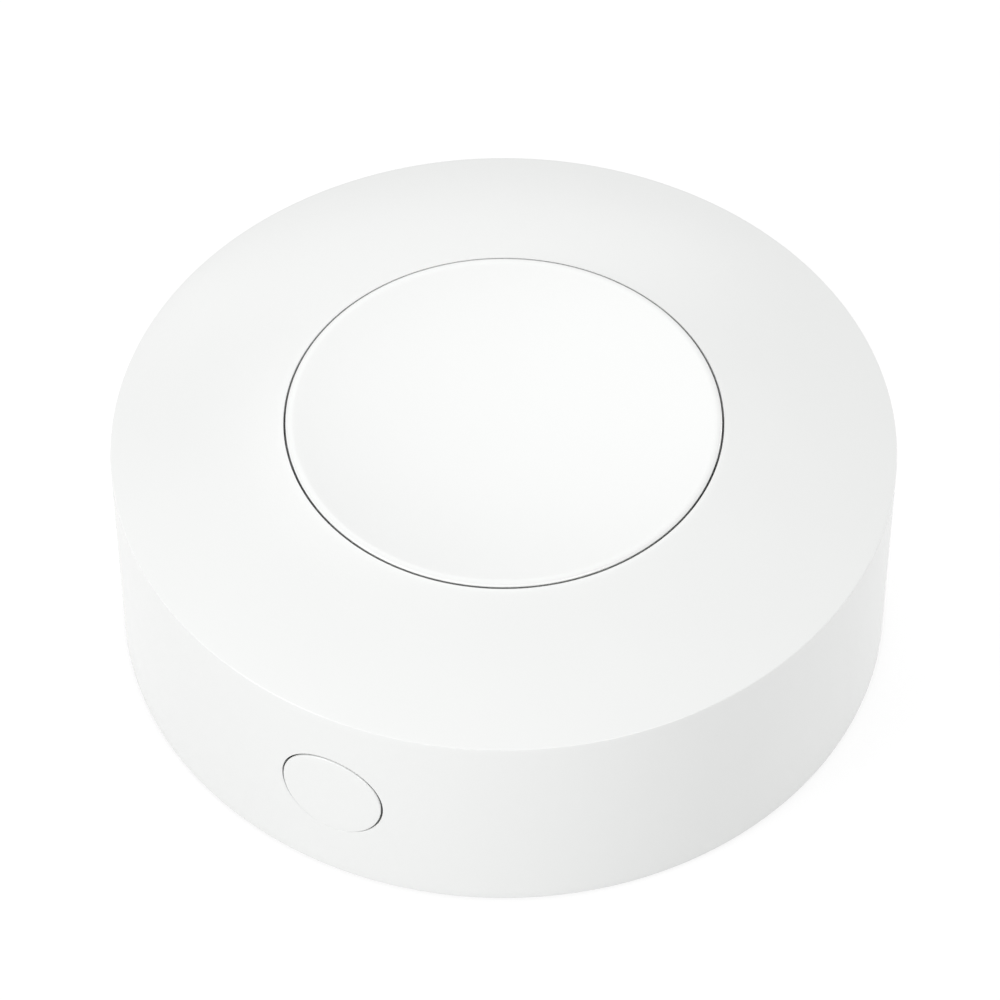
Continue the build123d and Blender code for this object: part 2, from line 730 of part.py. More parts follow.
with BuildPart() as side_switch_terminals:
    for offset_x in (-terminal_spread, terminal_spread):
        with BuildSketch(Plane.YZ.offset(offset_x)):
            with Locations((-side_switch_back, board_bottom)):
                Rectangle(terminal_thickness, terminal_height, align=(Align.MIN, Align.MAX))
                Rectangle(terminal_foot, terminal_thickness, align=(Align.MIN, Align.MAX))
        extrude(amount=terminal_width / 2, both=True)
side_switch_terminals.part.label = "side_switch_terminals"
export_step(side_switch_terminals.part, "parts/side_switch_terminals.step")

# Radio chip, its crystal and the row of small capacitors, all on top of the board
with BuildPart() as radio_chip:
    with BuildSketch(Plane.XY.offset(board_top)):
        with Locations(chip_place):
            Rectangle(chip_side, chip_side)
    extrude(amount=chip_height)
    with BuildSketch(Plane.XY.offset(board_top + chip_height)):
        with Locations((chip_place[0] - chip_side / 2 + chip_mark_inset,
                        chip_place[1] + chip_side / 2 - chip_mark_inset)):
            Circle(chip_mark_radius)
    extrude(amount=-chip_mark_depth, mode=Mode.SUBTRACT)
radio_chip.part.label = "radio_chip"
export_step(radio_chip.part, "parts/radio_chip.step")

with BuildPart() as crystal:
    with BuildSketch(Plane.XY.offset(board_top)):
        with Locations(crystal_place):
            Rectangle(crystal_length, crystal_width)
    extrude(amount=crystal_height - crystal_lid_border)
    with BuildSketch(Plane.XY.offset(board_top + crystal_height - crystal_lid_border)):
        with Locations(crystal_place):
            Rectangle(crystal_length - 2 * crystal_lid_border, crystal_width - 2 * crystal_lid_border)
    extrude(amount=crystal_lid_border)
crystal.part.label = "crystal"
export_step(crystal.part, "parts/crystal.step")

with BuildPart() as capacitors:
    with BuildSketch(Plane.XY.offset(board_top)):
        with Locations(capacitor_place):
            with GridLocations(capacitor_pitch, capacitor_pitch, capacitor_columns, capacitor_rows):
                Rectangle(capacitor_width, capacitor_length)
    extrude(amount=capacitor_height)
capacitors.part.label = "capacitors"
export_step(capacitors.part, "parts/capacitors.step")

# Status light beside the main switch
with BuildPart() as status_led:
    with BuildSketch(Plane.XY.offset(board_top)):
        with Locations(led_place):
            Rectangle(led_length, led_width)
    extrude(amount=led_height / 2)
    with BuildSketch(Plane.XY.offset(board_top + led_height / 2)):
        with Locations(led_place):
            Rectangle(led_lens_length, led_width)
    extrude(amount=led_height / 2)
status_led.part.label = "status_led"
export_step(status_led.part, "parts/status_led.step")

# Antenna: a meander of copper near the edge of the board
with BuildPart() as antenna_trace:
    far_x = board_radius - antenna_inset
    near_x = far_x - antenna_tooth_length
    corners = []
    for tooth in range(antenna_teeth):
        there_y = antenna_start + 2 * antenna_pitch * tooth
        back_y = there_y + antenna_pitch
        corners += [(near_x, there_y), (far_x, there_y), (far_x, back_y), (near_x, back_y)]
    with BuildSketch(Plane.XY.offset(board_top)):
        with BuildLine():
            FilletPolyline(*corners, radius=antenna_line / 2)
        trace(line_width=antenna_line)
    extrude(amount=antenna_thickness)
antenna_trace.part.label = "antenna_trace"
export_step(antenna_trace.part, "parts/antenna_trace.step")
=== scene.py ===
"""Wireless button switch: a low white body with a large dished button and a small side button.

Lengths are metres. The origin is the centre of the face that the switch rests on, +Z is up and
the side button faces -Y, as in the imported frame.
"""

from math import atan2, copysign, cos, hypot, pi, radians, sin, sqrt, tan

import bmesh
import bpy
from mathutils import Matrix, Vector


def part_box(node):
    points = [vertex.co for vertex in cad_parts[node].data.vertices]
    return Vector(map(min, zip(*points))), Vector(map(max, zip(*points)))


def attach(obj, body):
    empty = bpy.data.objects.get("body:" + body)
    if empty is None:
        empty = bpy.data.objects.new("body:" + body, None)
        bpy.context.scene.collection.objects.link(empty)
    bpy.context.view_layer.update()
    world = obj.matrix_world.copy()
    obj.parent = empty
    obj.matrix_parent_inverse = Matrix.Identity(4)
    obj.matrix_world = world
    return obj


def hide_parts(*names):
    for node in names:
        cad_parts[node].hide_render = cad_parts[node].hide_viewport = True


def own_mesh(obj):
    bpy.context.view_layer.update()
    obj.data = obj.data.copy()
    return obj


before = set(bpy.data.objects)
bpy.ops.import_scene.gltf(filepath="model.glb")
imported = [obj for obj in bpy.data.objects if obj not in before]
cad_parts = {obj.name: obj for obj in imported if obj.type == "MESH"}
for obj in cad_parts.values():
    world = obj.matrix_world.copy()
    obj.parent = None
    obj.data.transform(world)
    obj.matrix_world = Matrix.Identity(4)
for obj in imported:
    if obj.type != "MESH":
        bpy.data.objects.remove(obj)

bl_info = {
    "name": "Wireless button switch",
    "version": (1, 0, 0),
    "blender": (4, 5, 0),
    "location": "3D View > Sidebar > Switch",
    "description": "Builds the smooth mouldings, finishes and studio of a round wireless switch",
    "category": "Object",
}

MM = 0.001
TURN = 2 * pi
MERGE = 0.0005 * MM         # vertices closer than this are one
SUNK = 0.3 * MM             # how far a rib or lug runs into the wall that carries it

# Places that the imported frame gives
FOOT_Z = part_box("base_plate")[0].z
TOP_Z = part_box("main_button")[1].z
FLANGE_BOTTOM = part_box("main_button")[0].z
FLANGE_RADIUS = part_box("main_button")[1].x
NIB_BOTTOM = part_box("switch_stem")[1].z + 0.02 * MM
BOARD_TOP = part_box("circuit_board")[1].z
SIDE_BUTTON_Z = (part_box("side_button")[0].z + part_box("side_button")[1].z) / 2
FACE_Z = SIDE_BUTTON_Z + 0.2 * MM      # the photo shows the side button's face a little higher
SIDE_NIB_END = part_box("side_switch_stem")[0].y - 0.02 * MM
DOOR_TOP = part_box("battery_door")[1].z
LUG_RADIUS = -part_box("battery_door")[0].y
PAD_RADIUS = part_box("adhesive_pad")[1].x
PAD_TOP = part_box("adhesive_pad")[1].z
SCREW_ANGLES = [radians(90 + 120 * turn) for turn in range(3)]
KEY_ANGLES = [radians(30 + 120 * turn) for turn in range(3)]

# Soft lamps about the switch: direction in degrees round from +X and up from the floor, width
# and height in millimetres, and watts
LAMPS = {
    "key, front left": (-120, 20, 200, 200, 0.95),
    "fill, front right": (-30, 20, 200, 200, 0.56),
    "softbox, behind": (121, 51, 230, 220, 0.27),
    "low, behind": (122, 30, 360, 140, 0.14),
    "low, far right": (60, 5, 90, 90, 0.225),
}
LAMP_DISTANCE = 500 * MM
WHITE = (1.0, 1.0, 1.0, 1.0)

# Surfaces that a mould is given: roughness, and the grain's pitch and depth in millimetres
GLOSSY = (0.24, 0.16, 0.012)
SATIN = (0.48, 0.2, 0.018)
FINE = (0.5, 0.12, 0.01)


def linear(code):
    """An sRGB hex colour as the linear values that shaders take."""
    values = [int(code[i:i + 2], 16) / 255 for i in (0, 2, 4)]
    return tuple(v / 12.92 if v <= 0.04045 else ((v + 0.055) / 1.055) ** 2.4 for v in values)


def number(name, default, description, **kind):
    """A number that a user can change."""
    return bpy.props.FloatProperty(name=name, description=description, default=default, **kind)


def size(name, millimetres, description):
    """A length that a user can change."""
    return number(name, millimetres * MM, description, unit="LENGTH", precision=5)


def swing(name, degrees, description):
    """An angle that a user can change."""
    return number(name, radians(degrees), description, subtype="ANGLE")


def tint(name, code, description):
    """A colour that a user can change."""
    return bpy.props.FloatVectorProperty(name=name, description=description, subtype="COLOR",
                                         default=linear(code), min=0.0, max=1.0)


class SwitchSizes(bpy.types.PropertyGroup):
    """Sizes of the mouldings that show."""

    body_radius: size("Body radius", 27.0, "At the edge between the top and the side wall")
    edge_height: size("Edge height", 16.5, "From the foot of the side wall up to that edge")
    crown_bow: size("Crown bow", 80.0, "Radius of the arc that the top follows")
    wall_draft: swing("Wall draft", 0.75, "How the side wall leans out towards its top")
    side_wall: size("Side wall", 1.8, "Thickness of the side wall")
    top_wall: size("Top wall", 1.8, "Thickness of the crowned top")
    edge_round: size("Edge round", 0.08, "Round of the edge of the top")
    foot_round: size("Foot round", 0.14, "Round at the foot of the side wall")
    rim_round: size("Rim round", 0.04, "Round of the rim about the main button")
    root_round: size("Root round", 0.6, "Round inside, under the edge of the top")
    opening_radius: size("Opening radius", 15.075, "Hole that the main button moves in")
    collar_wall: size("Collar wall", 1.5, "Thickness of the collar about the main button")
    collar_length: size("Collar length", 3.0, "From the main button's top down to its end")
    button_gap: size("Button gap", 0.135, "Air round the main button")
    dish_depth: size("Dish depth", 1.05, "How deep the main button is dished")
    lip_width: size("Lip width", 0.46, "Lip between the dish and the edge")
    lip_fall: size("Lip fall", 0.02, "How far the lip falls to its edge")
    lip_crest: size("Lip crest", 1.0, "Round between the dish and the lip")
    lip_round: size("Lip round", 0.17, "Round of the edge of the lip")
    lip_stand: size("Lip stand", 0.17, "How far the lip stands out of the housing")
    cap_land: size("Cap land", 0.19, "From the cap's top down to its undercut")
    cap_relief: size("Cap relief", 0.3, "How deep the undercuts below both buttons' edges are")
    cap_wall: size("Cap wall", 1.5, "Thickness of the main button")
    skirt_wall: size("Skirt wall", 1.4, "From the cap's edge in to the inside of its skirt")
    flange_thickness: size("Flange thickness", 1.0, "Flange that holds the button in")
    nib_radius: size("Nib radius", 1.7, "Nib that presses the switch")
    side_button_radius: size("Side button radius", 3.65, "Small button in the side wall")
    side_button_gap: size("Side button gap", 0.12, "Air round the side button")
    side_button_stand: size("Side button stand", 0.1, "How far its face stands out of the wall")
    side_button_fall: size("Side button fall", 0.02, "How far its face rolls off to the edge")
    side_button_round: size("Side button round", 0.08, "Round of its edge")
    side_button_land: size("Side button land", 0.15, "From its face back to its undercut")
    side_hole_round: size("Side hole round", 0.05, "Round of the hole that it sits in")
    side_seat_depth: size("Side seat depth", 0.78, "How far the flat seat behind it stands in")
    side_seat_width: size("Side seat width", 12.0, "Width of that seat")
    side_seat_height: size("Side seat height", 10.0, "Height of that seat")
    side_seat_round: size("Side seat round", 2.0, "Corners of that seat")
    door_radius: size("Door radius", 14.25, "Battery door in the base")
    door_thickness: size("Door thickness", 1.5, "Thickness of its disc")
    door_bevel: size("Door bevel", 0.2, "Bevel of its outer edge")
    coin_slot_length: size("Coin slot length", 14.0, "Slot that a coin turns the door by")
    coin_slot_width: size("Coin slot width", 1.8, "Width of that slot")
    coin_slot_depth: size("Coin slot depth", 0.8, "Depth of that slot")


class SwitchColours(bpy.types.PropertyGroup):
    """Colours of the mouldings that show."""

    shell: tint("Shell", "F4F5F4", "Housing")
    button: tint("Button", "F5F6F5", "Main button")
    base: tint("Base", "F0F1F0", "Base plate and battery door")
    liner: tint("Liner", "DEDDD8", "Paper liner of the adhesive pad")


class SwitchStudio(bpy.types.PropertyGroup):
    """Camera and light of the studio."""

    lens: number("Lens", 226.5, "Focal length on a 36 mm sensor, in millimetres")
    distance: size("Distance", 444.7, "From the middle of the foot to the camera")
    azimuth: swing("Azimuth", 25.6, "Camera's turn from the front, towards +X")
    elevation: swing("Elevation", 50.2, "Camera's height above the floor's plane")
    aim_height: size("Aim height", 10.38, "Point on the axis that the camera looks at")
    aim_left: size("Aim left", 0.26, "How far left of the axis the camera looks")
    sky: number("Sky", 0.65, "Strength of the even light from all round")


def settings():
    """The switch's sizes, colours and studio, as kept with the scene."""
    scene = bpy.context.scene
    return scene.switch_sizes, scene.switch_colours, scene.switch_studio


# Materials

def add(tree, kind, inputs=None, **properties):
    """Adds a shader node. A socket given as an input is linked, and any other value is set."""
    node = tree.nodes.new("ShaderNode" + kind)
    for name, value in properties.items():
        setattr(node, name, value)
    for name, value in (inputs or {}).items():
        if isinstance(value, bpy.types.NodeSocket):
            tree.links.new(value, node.inputs[name])
        else:
            node.inputs[name].default_value = value
    return node


def new_material(name):
    """An empty material with nodes, and its tree."""
    material = bpy.data.materials.new(name)
    material.use_nodes = True
    material.node_tree.nodes.clear()
    return material, material.node_tree


def opaque(colour, shade=1.0):
    """A linear colour, darkened to a share, as the four values that a node takes."""
    return (*(c * shade for c in colour), 1.0)


def paint(code):
    """An sRGB hex colour as the four values that a node takes."""
    return opaque(linear(code))


def per_metre(millimetres):
    """Scale of a texture whose blobs are about this far apart."""
    return 1 / (millimetres * MM)


def moulded_plastic(name, colour, roughness, grain, depth):
    """Spark-eroded moulding: a very fine grain dulls the gloss, and the colour is even all through."""
    material, tree = new_material(name)
    place = add(tree, "TexCoord").outputs["Object"]
    # The real grain is about 0.03 mm and would not show, so it is drawn coarser
    fine = add(tree, "TexNoise",
               {"Vector": place, "Scale": per_metre(grain), "Detail": 3.0, "Roughness": 0.6})
    broad = add(tree, "TexNoise", {"Vector": place, "Scale": per_metre(9.0)}).outputs["Fac"]
    gloss = add(tree, "MapRange", {"Value": broad, "From Min": 0.3, "From Max": 0.7,
                                   "To Min": roughness - 0.02, "To Max": roughness + 0.02})
    shade = add(tree, "Mix", {"Factor": broad, "A": opaque(colour, 0.985), "B": opaque(colour)},
                data_type="RGBA")
    bump = add(tree, "Bump",
               {"Height": fine.outputs["Fac"], "Strength": 0.35, "Distance": depth * MM})
    shader = add(tree, "BsdfPrincipled",
                 {"Base Color": shade.outputs[2], "Roughness": gloss.outputs["Result"],
                  "Normal": bump.outputs["Normal"], "IOR": 1.53})
    add(tree, "OutputMaterial", {"Surface": shader.outputs["BSDF"]})
    return material


def foam_tape():
    """Closed-cell polyethylene foam: soft, dull and full of cells about 0.2 mm across."""
    material, tree = new_material("PE foam tape, closed cell")
    place = add(tree, "TexCoord").outputs["Object"]
    cells = add(tree, "TexVoronoi", {"Vector": place, "Scale": per_metre(0.25)}).outputs["Distance"]
    shade = add(tree, "Mix", {"Factor": cells, "A": paint("D9D9D6"), "B": paint("C9C9C5")},
                data_type="RGBA")
    bump = add(tree, "Bump", {"Height": cells, "Strength": 0.6, "Distance": 0.05 * MM})
    shader = add(tree, "BsdfPrincipled",
                 {"Base Color": shade.outputs[2], "Roughness": 0.85, "Normal": bump.outputs["Normal"]})
    add(tree, "OutputMaterial", {"Surface": shader.outputs["BSDF"]})
    return material


def liner_paper(colour):
    """Siliconised kraft paper: smooth and slightly waxy, with soft fibre clouds and a fine tooth."""
    material, tree = new_material("siliconised liner paper")
    place = add(tree, "TexCoord").outputs["Object"]
    clouds = add(tree, "TexNoise",
                 {"Vector": place, "Scale": per_metre(1.8), "Detail": 5.0, "Roughness": 0.65})
    along = add(tree, "Mapping", {"Vector": place, "Scale": (1.0, 0.15, 1.0)})
    fibres = add(tree, "TexNoise",
                 {"Vector": along.outputs["Vector"], "Scale": per_metre(0.12), "Detail": 3.0})
    shade = add(tree, "Mix", {"Factor": clouds.outputs["Fac"], "A": opaque(colour, 0.93),
                              "B": opaque(colour)}, data_type="RGBA")
    bump = add(tree, "Bump",
               {"Height": fibres.outputs["Fac"], "Strength": 0.25, "Distance": 0.02 * MM})
    shader = add(tree, "BsdfPrincipled", {"Base Color": shade.outputs[2], "Roughness": 0.48,
                                          "Normal": bump.outputs["Normal"], "IOR": 1.45})
    add(tree, "OutputMaterial", {"Surface": shader.outputs["BSDF"]})
    return material


def plated_metal(name, code, roughness, grain, stretch=(1.0, 1.0, 1.0)):
    """Plated or rolled metal: bright, with fine marks as long as the stretch draws them."""
    material, tree = new_material(name)
    place = add(tree, "TexCoord").outputs["Object"]
    along = add(tree, "Mapping", {"Vector": place, "Scale": stretch}).outputs["Vector"]
    marks = add(tree, "TexNoise",
                {"Vector": along, "Scale": per_metre(grain), "Detail": 4.0}).outputs["Fac"]
    gloss = add(tree, "MapRange", {"Value": marks, "From Min": 0.3, "From Max": 0.7,
                                   "To Min": roughness * 0.8, "To Max": roughness * 1.2})
    colour = linear(code)
    shade = add(tree, "Mix", {"Factor": marks, "A": opaque(colour, 0.92), "B": opaque(colour)},
                data_type="RGBA")
    bump = add(tree, "Bump", {"Height": marks, "Strength": 0.2, "Distance": 0.01 * MM})
    shader = add(tree, "BsdfPrincipled",
                 {"Base Color": shade.outputs[2], "Metallic": 1.0,
                  "Roughness": gloss.outputs["Result"], "Normal": bump.outputs["Normal"]})
    add(tree, "OutputMaterial", {"Surface": shader.outputs["BSDF"]})
    return material


def solder_mask():
    """Screened epoxy over glass laminate: glossy green, paler where copper tracks run beneath."""
    material, tree = new_material("epoxy solder mask over copper tracks")
    place = add(tree, "TexCoord").outputs["Object"]
    # Tracks 0.3 mm wide, 1.2 mm apart, in runs of 6 mm
    tracks = add(tree, "TexBrick",
                 {"Vector": place, "Scale": 1.0, "Brick Width": 6.0 * MM, "Row Height": 1.2 * MM,
                  "Mortar Size": 0.15 * MM, "Mortar Smooth": 0.2, "Color1": paint("0E4A25"),
                  "Color2": paint("0C4522"), "Mortar": paint("1B6B38")})
    bump = add(tree, "Bump",
               {"Height": tracks.outputs["Fac"], "Strength": 0.5, "Distance": 0.03 * MM})
    shader = add(tree, "BsdfPrincipled", {"Base Color": tracks.outputs["Color"], "Roughness": 0.25,
                                          "Normal": bump.outputs["Normal"], "IOR": 1.55})
    add(tree, "OutputMaterial", {"Surface": shader.outputs["BSDF"]})
    return material


def capped_ceramic():
    """Fired ceramic blocks with dipped tin ends: dull tan bodies between bright metal caps."""
    material, tree = new_material("fired ceramic with tin ends")
    place = add(tree, "TexCoord").outputs["Object"]
    low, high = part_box("capacitors")
    row_pitch = 1.4 * MM
    block_length = (high.y - low.y) - row_pitch
    bare_half = block_length * 0.28
    y = add(tree, "SeparateXYZ", {"Vector": place}).outputs["Y"]
    from_row = add(tree, "Math", {0: y, 1: low.y + block_length / 2}, operation="SUBTRACT")
    from_middle = add(tree, "Math", {0: from_row.outputs[0], 1: row_pitch / 2}, operation="PINGPONG")
    cap = add(tree, "Math", {0: from_middle.outputs[0], 1: bare_half},
              operation="GREATER_THAN").outputs[0]
    grains = add(tree, "TexNoise", {"Vector": place, "Scale": per_metre(0.1)})
    body = add(tree, "Mix", {"Factor": grains.outputs["Fac"], "A": paint("9A7C5E"),
                             "B": paint("AD8F70")}, data_type="RGBA")
    shade = add(tree, "Mix", {"Factor": cap, "A": body.outputs[2], "B": paint("CFCDC8")},
                data_type="RGBA")
    shader = add(tree, "BsdfPrincipled",
                 {"Base Color": shade.outputs[2], "Metallic": cap, "Roughness": 0.45})
    add(tree, "OutputMaterial", {"Surface": shader.outputs["BSDF"]})
    return material


def cast_resin():
    """Cast epoxy lens on its seat: milky and glossy, with a faint haze that spreads the light."""
    material, tree = new_material("cast epoxy, milky")
    place = add(tree, "TexCoord").outputs["Object"]
    haze = add(tree, "TexNoise", {"Vector": place, "Scale": per_metre(0.5)})
    shade = add(tree, "Mix", {"Factor": haze.outputs["Fac"], "A": paint("EDEBDD"),
                              "B": paint("F6F5EC")}, data_type="RGBA")
    shader = add(tree, "BsdfPrincipled", {"Base Color": shade.outputs[2], "Roughness": 0.12,
                                          "IOR": 1.54, "Coat Weight": 0.5})
    add(tree, "OutputMaterial", {"Surface": shader.outputs["BSDF"]})
    return material


def finish_node(name, material):
    """Gives a CAD node its material."""
    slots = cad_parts[name].data.materials
    slots.clear()
    slots.append(material)


# Meshes

def draw_outline(bm, points, closed=False):
    """Straight edges through points given as distance from the axis and height."""
    verts = [bm.verts.new((radius, 0, height)) for radius, height in points]
    for start, end in zip(verts, verts[1:] + verts[:1] if closed else verts[1:]):
        bm.edges.new((start, end))


def nearest(items, radius, height):
    """The item whose middle is nearest to a point of the outline."""
    def distance(item):
        spot = item.co if isinstance(item, bmesh.types.BMVert) else middle(item)
        return hypot(spot.x - radius, spot.z - height)
    return min(items, key=distance)


def middle(edge):
    """Midpoint of an edge."""
    return (edge.verts[0].co + edge.verts[1].co) / 2


def verts_in(made):
    """The vertices in what an operator gives."""
    return [item for item in made if isinstance(item, bmesh.types.BMVert)]


def weld(bm, verts):
    """Joins vertices that lie on the same spot."""
    bmesh.ops.remove_doubles(bm, verts=verts, dist=MERGE)


def bow_edge(bm, start, end, radius, cuts, side):
    """Divides the straight edge between two points of the outline into an arc that bulges to a side."""
    edge = nearest(bm.edges, (start[0] + end[0]) / 2, (start[1] + end[1]) / 2)
    chord = edge.verts[1].co - edge.verts[0].co
    outwards = Vector((chord.z, 0, -chord.x)).normalized()
    if outwards.z * side < 0:
        outwards.negate()
    centre = middle(edge) - outwards * sqrt(radius**2 - (chord.length / 2) ** 2)
    made = bmesh.ops.subdivide_edges(bm, edges=[edge], cuts=cuts)["geom_inner"]
    for vert in verts_in(made):
        vert.co = centre + (vert.co - centre).normalized() * radius


def divide_edge(bm, start, end, cuts):
    """Divides the straight edge between two points of the outline."""
    edge = nearest(bm.edges, (start[0] + end[0]) / 2, (start[1] + end[1]) / 2)
    bmesh.ops.subdivide_edges(bm, edges=[edge], cuts=cuts)


def round_corner(bm, point, radius, segments=6):
    """Rounds the corner of the outline at a point."""
    corner = nearest(bm.verts, *point)
    one, other = (edge.other_vert(corner).co - corner.co for edge in corner.link_edges)
    reach = radius / tan(one.angle(other) / 2)
    bmesh.ops.bevel(bm, geom=[corner], offset=reach, segments=segments, profile=0.5,
                    affect="VERTICES", material=-1)


def lathe(bm, steps):
    """Turns the outline a full turn about the Z axis."""
    bmesh.ops.spin(bm, geom=bm.verts[:] + bm.edges[:], axis=(0, 0, 1), angle=TURN, steps=steps,
                   use_merge=True)
    weld(bm, bm.verts[:])


def ring_sector(bm, inner, outer, bottom, top, middle_angle, width_angle, steps=12):
    """Adds a closed sector of a ring: a rectangle turned about the Z axis."""
    corners = [bm.verts.new(spot) for spot in
               ((inner, 0, bottom), (outer, 0, bottom), (outer, 0, top), (inner, 0, top))]
    face = bm.faces.new(corners)
    turned = Matrix.Rotation(middle_angle - width_angle / 2, 3, "Z")
    bmesh.ops.rotate(bm, verts=corners, matrix=turned)
    bmesh.ops.spin(bm, geom=[face, *face.edges, *face.verts], axis=(0, 0, 1),
                   angle=width_angle, steps=steps)


def block(bm, low, high, turn=0.0):
    """Adds a box between two corners, turned about the Z axis."""
    low, high = Vector(low), Vector(high)
    size_matrix = Matrix.Diagonal((*(high - low), 1.0))
    place = Matrix.Rotation(turn, 4, "Z") @ Matrix.Translation((low + high) / 2) @ size_matrix
    bmesh.ops.create_cube(bm, size=1.0, matrix=place)


def quarter(steps, first=1):
    """Sine and cosine of even leans up to a right angle."""
    for step in range(first, steps + 1):
        lean = pi / 2 * step / steps
        yield sin(lean), cos(lean)


def grow(bm, edges):
    """Extrudes a loop of edges on the spot. Gives the new edges, and each new vertex's old one."""
    made = bmesh.ops.extrude_edge_only(bm, edges=edges)["geom"]
    fresh = set(verts_in(made))
    parents = {vert: next(edge.other_vert(vert) for edge in vert.link_edges
                          if edge.other_vert(vert) not in fresh) for vert in fresh}
    rim = [item for item in made if isinstance(item, bmesh.types.BMEdge)
           and item.verts[0] in fresh and item.verts[1] in fresh]
    return rim, parents


def bearing(spot):
    """Angle of a spot round the middle of the side button, as seen from the front."""
    # A spot a hair below the start comes before it, not a full turn after it
    hair = 0.01
    return (atan2(spot.z - FACE_Z, spot.x) + hair) % TURN - hair


def circle(angle, radius):
    """Spot on a circle round the middle of the side button."""
    return Vector((radius * cos(angle), 0, FACE_Z + radius * sin(angle)))


def grow_to(bm, edges, place):
    """Extrudes a loop round the side button, and places each new vertex by its bearing."""
    rim, parents = grow(bm, edges)
    for vert, parent in parents.items():
        vert.co = place(bearing(parent.co))
    return rim


def ease_to(bm, edges, outline, surface, steps):
    """Grows a loop round the side button over a surface, in steps, to an evenly spaced outline."""
    ranked = sorted({vert for edge in edges for vert in edge.verts}, key=lambda v: bearing(v.co))
    routes = {vert: (vert.co.copy(), outline(TURN * rank / len(ranked)))
              for rank, vert in enumerate(ranked)}
    for step in range(1, steps + 1):
        edges, parents = grow(bm, edges)
        routes = {vert: routes[parent] for vert, parent in parents.items()}
        for vert, (start, end) in routes.items():
            vert.co = surface(start.lerp(end, step / steps))
    return edges


def open_patch(bm, faces):
    """Deletes a patch of faces, and gives the loop of edges round the hole."""
    patch = set(faces)
    rim = {edge for face in patch for edge in face.edges
           if any(other not in patch for other in edge.link_faces)}
    bmesh.ops.delete(bm, geom=list(patch), context="FACES")
    return list(rim)


def new_object(name, data):
    """An object in the scene that shows this data."""
    made = bpy.data.objects.new(name, data)
    bpy.context.scene.collection.objects.link(made)
    return made


def new_mesh(name, bm):
    """A mesh with what has been made, which is then let go."""
    mesh = bpy.data.meshes.new(name)
    bm.to_mesh(mesh)
    bm.free()
    return mesh


def make_piece(name, bm, materials, body, node):
    """Turns a finished mesh into an object that stands for a CAD node."""
    sharp = radians(32)
    bmesh.ops.recalc_face_normals(bm, faces=bm.faces[:])
    for face in bm.faces:
        face.smooth = True
    for edge in bm.edges:
        edge.smooth = edge.is_manifold and edge.calc_face_angle(0.0) < sharp
    mesh = new_mesh(name, bm)
    for material in materials:
        mesh.materials.append(material)
    piece = new_object(name, mesh)
    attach(piece, body)
    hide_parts(node)
    return piece


# Housing

def foot_radius(sizes):
    """Radius of the side wall at its foot."""
    return sizes.body_radius - sizes.edge_height * tan(sizes.wall_draft)


def inner_radius(sizes):
    """Radius of the inside of the side wall."""
    return foot_radius(sizes) - sizes.side_wall


def wall_radius(sizes, height):
    """Radius of the outside of the side wall at a height."""
    return foot_radius(sizes) + (height - FOOT_Z) * tan(sizes.wall_draft)


def side_flange(sizes):
    """Distances from the axis of the front and the back of the side button's flange."""
    seat = inner_radius(sizes) - sizes.side_seat_depth
    front = seat - 0.02 * MM
    return front, front - 0.9 * MM


def crown_height(sizes, radius):
    """Height of the crowned top at a distance from the axis."""
    rim = Vector((sizes.opening_radius, TOP_Z - sizes.lip_stand))
    edge = Vector((sizes.body_radius, FOOT_Z + sizes.edge_height))
    chord = edge - rim
    inwards = Vector((chord.y, -chord.x)).normalized()
    centre = (rim + edge) / 2 + inwards * sqrt(sizes.crown_bow**2 - (chord.length / 2) ** 2)
    return centre.y + sqrt(sizes.crown_bow**2 - (radius - centre.x) ** 2)


def housing_outline(bm, sizes, patch_bottom, patch_top, patch_rows):
    """Section of the housing: side wall, crowned top and collar, with even rows at the side button."""
    inner = inner_radius(sizes)
    collar = sizes.opening_radius + sizes.collar_wall
    foot_in = (inner, FOOT_Z)
    foot_out = (foot_radius(sizes), FOOT_Z)
    low_out = (wall_radius(sizes, patch_bottom), patch_bottom)
    high_out = (wall_radius(sizes, patch_top), patch_top)
    edge = (sizes.body_radius, FOOT_Z + sizes.edge_height)
    rim = (sizes.opening_radius, TOP_Z - sizes.lip_stand)
    collar_end = (sizes.opening_radius, TOP_Z - sizes.collar_length)
    collar_back = (collar, TOP_Z - sizes.collar_length)
    collar_root = (collar, crown_height(sizes, collar) - sizes.top_wall)
    wall_root = (inner, crown_height(sizes, inner) - sizes.top_wall)
    high_in = (inner, patch_top)
    low_in = (inner, patch_bottom)
    draw_outline(bm, (foot_in, foot_out, low_out, high_out, edge, rim, collar_end, collar_back,
                      collar_root, wall_root, high_in, low_in), closed=True)
    bow_edge(bm, edge, rim, sizes.crown_bow, cuts=23, side=1)
    bow_edge(bm, collar_root, wall_root, sizes.crown_bow, cuts=7, side=1)
    round_corner(bm, edge, sizes.edge_round, segments=8)
    round_corner(bm, foot_out, sizes.foot_round)
    round_corner(bm, rim, sizes.rim_round, segments=5)
    round_corner(bm, wall_root, sizes.root_round)
    round_corner(bm, foot_in, sizes.rim_round, segments=3)
    divide_edge(bm, low_out, high_out, cuts=patch_rows - 1)
    divide_edge(bm, low_in, high_in, cuts=patch_rows - 1)
    divide_edge(bm, high_out, edge, cuts=3)
    divide_edge(bm, low_out, foot_out, cuts=3)


def on_rounded_box(angle, half_width, half_height, corner):
    """Where a ray from the middle of a box with rounded corners meets its outline."""
    across, up = cos(angle), sin(angle)
    reach = min(half_width / max(abs(across), MERGE), half_height / max(abs(up), MERGE))
    corner_x = copysign(half_width - corner, across)
    corner_y = copysign(half_height - corner, up)
    if abs(across) * reach > abs(corner_x) and abs(up) * reach > abs(corner_y):
        along = across * corner_x + up * corner_y
        reach = along + sqrt(along**2 - corner_x**2 - corner_y**2 + corner**2)
    return across * reach, up * reach


